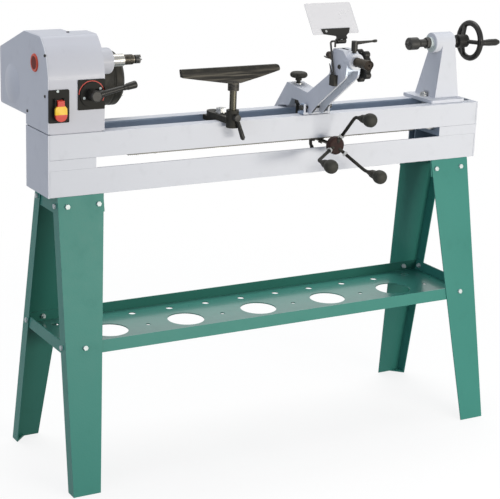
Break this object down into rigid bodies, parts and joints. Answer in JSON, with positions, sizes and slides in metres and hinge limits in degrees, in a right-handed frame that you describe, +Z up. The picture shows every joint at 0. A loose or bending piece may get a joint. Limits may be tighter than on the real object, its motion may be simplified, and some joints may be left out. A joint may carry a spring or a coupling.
{
  "type": "duplicating wood lathe",
  "caption": "Floor-standing wood lathe with headstock, tool rest, tailstock and a rack-driven copying carriage on a slotted steel bed and splayed sheet-metal stand.",
  "frame": {"origin": "on the floor under the middle of the machine's overall box", "axes": "+X along the bed from the headstock to the tailstock, the front faces -Y, +Z up"},
  "size_m": [1.5233, 0.615, 1.3232],
  "materials": {
    "green_sheet": "gloss",
    "grey_paint": "satin",
    "black_cast": "matt",
    "black_plastic": "matt",
    "red_plastic": "gloss",
    "bright_steel": "bright",
    "dark_steel": "dull",
    "zinc": "bright",
    "rubber": "matt",
    "clear_sheet": "clear"
  },
  "bodies": {
    "stand_and_bed": {"leg_rear_right": "green_sheet", "leg_rear_left": "green_sheet", "leg_front_right": "green_sheet", "leg_front_left": "green_sheet", "stand_brackets": "green_sheet", "shelf": "green_sheet", "stand_fasteners": "zinc", "rail_front_upper": "grey_paint", "rail_rear_upper": "grey_paint", "rail_front_lower": "grey_paint", "bed_end_left": "grey_paint", "bed_end_right": "grey_paint", "feed_rack": "dark_steel", "headstock_housing": "grey_paint", "belt_cover": "grey_paint", "access_plug": "red_plastic", "spindle_bearings": "bright_steel", "drive_belt": "rubber", "motor": "black_cast", "switch_plate": "black_plastic", "speed_plate": "black_plastic"},
    "spindle_unit": {"spindle": "bright_steel", "spindle_pulley": "dark_steel", "spur_centre": "dark_steel"},
    "motor_rotor": {"motor_pulley": "dark_steel"},
    "switch_flap": {"switch_paddle": "red_plastic"},
    "speed_control": {"speed_lever": "black_plastic"},
    "rest_carriage": {"rest_guide": "black_cast", "rest_clamp": "zinc"},
    "rest_arm": {"rest_base": "black_cast"},
    "rest_bar": {"tool_rest": "black_cast", "rest_post": "bright_steel"},
    "rest_lock": {"rest_lock_lever": "black_plastic"},
    "copy_carriage": {"copier_arm": "grey_paint", "hung_bracket": "black_cast", "arm_pin": "dark_steel", "carriage_clamp": "dark_steel", "rod_block": "black_cast", "guard_rod": "dark_steel", "follower_blade": "dark_steel"},
    "carriage_lock": {"carriage_knob": "black_plastic"},
    "roller_pair_left": {"rollers_left": "dark_steel"},
    "roller_pair_right": {"rollers_right": "dark_steel"},
    "carriage_drive": {"carriage_pinion": "dark_steel", "carriage_hub": "black_cast", "carriage_handles": "black_cast", "carriage_knobs": "black_plastic"},
    "cutter_unit": {"cutter_slide": "dark_steel", "cutter_bit": "dark_steel"},
    "feed_wheel": {"feed_pinion": "dark_steel", "feed_star": "black_plastic"},
    "slide_lock": {"clamp_lever": "black_plastic"},
    "guard": {"shield_bracket": "black_plastic", "shield": "clear_sheet"},
    "tailstock_unit": {"tailstock": "grey_paint", "tail_clamp": "zinc"},
    "quill_unit": {"quill": "dark_steel"},
    "turning_centre": {"live_centre": "dark_steel"},
    "quill_wheel": {"tail_handwheel": "black_cast"},
    "wheel_grip": {"tail_grip": "black_plastic"}
  },
  "joints": [
    {"name": "spindle_spin", "type": "hinge", "parent": "stand_and_bed", "child": "spindle_unit", "pos_m": [-0.55365, 0.0355, 1.17], "axis": [1, 0, 0], "continuous": true},
    {"name": "motor_spin", "type": "hinge", "parent": "stand_and_bed", "child": "motor_rotor", "pos_m": [-0.68965, 0.2135, 1.089], "axis": [1, 0, 0], "continuous": true},
    {"name": "switch_flip", "type": "hinge", "parent": "stand_and_bed", "child": "switch_flap", "pos_m": [-0.72315, -0.052, 1.085], "axis": [-1, 0, 0], "range_deg": [0, 60]},
    {"name": "speed_turn", "type": "hinge", "parent": "stand_and_bed", "child": "speed_control", "pos_m": [-0.62865, -0.0435, 1.096], "axis": [0, -1, 0], "range_deg": [-35, 130]},
    {"name": "rest_travel", "type": "slide", "parent": "stand_and_bed", "child": "rest_carriage", "axis": [1, 0, 0], "range_m": [-0.12, 0.08]},
    {"name": "rest_swing", "type": "hinge", "parent": "rest_carriage", "child": "rest_arm", "pos_m": [-0.20565, 0.0005, 0.992], "axis": [0, 0, 1], "range_deg": [-15, 15]},
    {"name": "rest_height", "type": "slide", "parent": "rest_arm", "child": "rest_bar", "axis": [0, 0, 1], "range_m": [-0.028, 0.014]},
    {"name": "rest_lock_turn", "type": "hinge", "parent": "rest_arm", "child": "rest_lock", "pos_m": [-0.20565, -0.0675, 1.011], "axis": [0, -1, 0], "range_deg": [-30, 55]},
    {"name": "carriage_travel", "type": "slide", "parent": "stand_and_bed", "child": "copy_carriage", "axis": [1, 0, 0], "range_m": [-0.05, 0.22]},
    {"name": "carriage_lock_turn", "type": "hinge", "parent": "copy_carriage", "child": "carriage_lock", "pos_m": [0.08435, 0.0565, 0.992], "axis": [0, 0, 1], "range_deg": [-90, 270]},
    {"name": "roller_left_turn", "type": "hinge", "parent": "copy_carriage", "child": "roller_pair_left", "pos_m": [0.06835, 0.0355, 1.0012], "axis": [0, 1, 0], "range_deg": [-330, 1420]},
    {"name": "roller_right_turn", "type": "hinge", "parent": "copy_carriage", "child": "roller_pair_right", "pos_m": [0.10035, 0.0355, 1.0012], "axis": [0, 1, 0], "range_deg": [-330, 1420]},
    {"name": "capstan_turn", "type": "hinge", "parent": "copy_carriage", "child": "carriage_drive", "pos_m": [0.12235, -0.0435, 0.909], "axis": [0, 1, 0], "range_deg": [-1600, 380]},
    {"name": "cutter_feed", "type": "slide", "parent": "copy_carriage", "child": "cutter_unit", "axis": [0, 1, 0], "range_m": [-0.03, 0.035]},
    {"name": "feed_turn", "type": "hinge", "parent": "copy_carriage", "child": "feed_wheel", "pos_m": [0.08435, -0.2125, 1.1611], "axis": [1, 0, 0], "range_deg": [-270, 230]},
    {"name": "slide_lock_turn", "type": "hinge", "parent": "copy_carriage", "child": "slide_lock", "pos_m": [0.08435, -0.23, 1.177], "axis": [0, 0, 1], "range_deg": [-40, 60]},
    {"name": "guard_tilt", "type": "hinge", "parent": "copy_carriage", "child": "guard", "pos_m": [0.07435, -0.153, 1.223], "axis": [1, 0, 0], "range_deg": [-20, 30]},
    {"name": "tailstock_travel", "type": "slide", "parent": "stand_and_bed", "child": "tailstock_unit", "axis": [1, 0, 0], "range_m": [-0.2, 0]},
    {"name": "quill_travel", "type": "slide", "parent": "tailstock_unit", "child": "quill_unit", "axis": [1, 0, 0], "range_m": [-0.051, 0]},
    {"name": "centre_spin", "type": "hinge", "parent": "quill_unit", "child": "turning_centre", "pos_m": [0.49835, 0.0355, 1.17], "axis": [1, 0, 0], "continuous": true},
    {"name": "quill_wheel_turn", "type": "hinge", "parent": "tailstock_unit", "child": "quill_wheel", "pos_m": [0.61565, 0.0355, 1.17], "axis": [1, 0, 0], "range_deg": [0, 3000]},
    {"name": "wheel_grip_spin", "type": "hinge", "parent": "quill_wheel", "child": "wheel_grip", "pos_m": [0.71565, -0.0185, 1.17], "axis": [1, 0, 0], "continuous": true}
  ],
  "couplings": [
    {"joint": "motor_spin", "follows": "spindle_spin", "ratio": 1.4286},
    {"joint": "roller_left_turn", "follows": "carriage_travel", "rad_per_m": 111.11},
    {"joint": "roller_right_turn", "follows": "carriage_travel", "rad_per_m": 111.11},
    {"joint": "capstan_turn", "follows": "carriage_travel", "rad_per_m": -125},
    {"joint": "feed_turn", "follows": "cutter_feed", "rad_per_m": -125},
    {"joint": "quill_travel", "follows": "quill_wheel_turn", "m_per_rad": -0.00095493}
  ]
}
